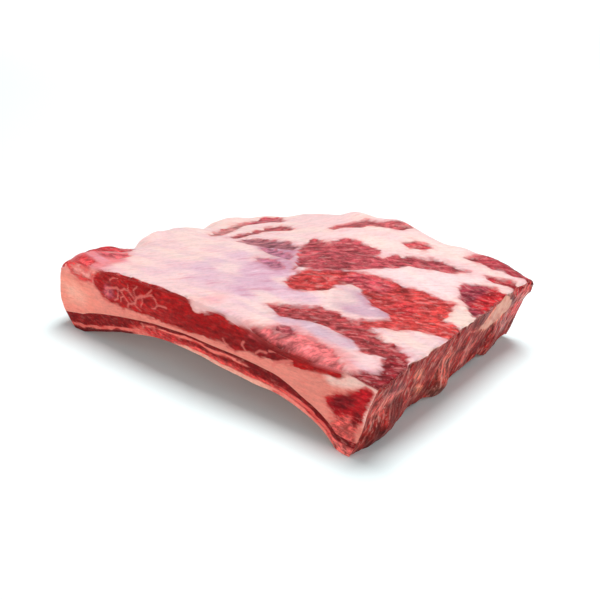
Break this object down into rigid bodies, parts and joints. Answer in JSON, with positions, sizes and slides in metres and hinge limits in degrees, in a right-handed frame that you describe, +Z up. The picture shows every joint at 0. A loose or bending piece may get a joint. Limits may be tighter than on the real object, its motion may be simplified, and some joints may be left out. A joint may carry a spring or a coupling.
{
  "type": "raw beef short ribs",
  "caption": "Slab of raw beef short ribs, arched off the surface, with bare rib along one side, a sawn end, and fat and lean on top.",
  "frame": {"origin": "bottom centre of the part's bounding box, on the surface it lies on", "axes": "+X along the ribs towards the sawn end, +Y across the ribs away from the bare rib, +Z up through the fat side"},
  "size_m": [0.3084, 0.215, 0.0773],
  "materials": {
    "meat": "moist raw meat with white fat and pale silverskin",
    "bone": "smooth pinkish cream bone skin",
    "dark_meat": "moist dark red meat with a thin pale membrane"
  },
  "bodies": {
    "root": {"upper_meat": "meat", "rib_near": "bone", "rib_middle": "bone", "rib_far": "bone", "lower_meat": "dark_meat"}
  },
  "joints": []
}
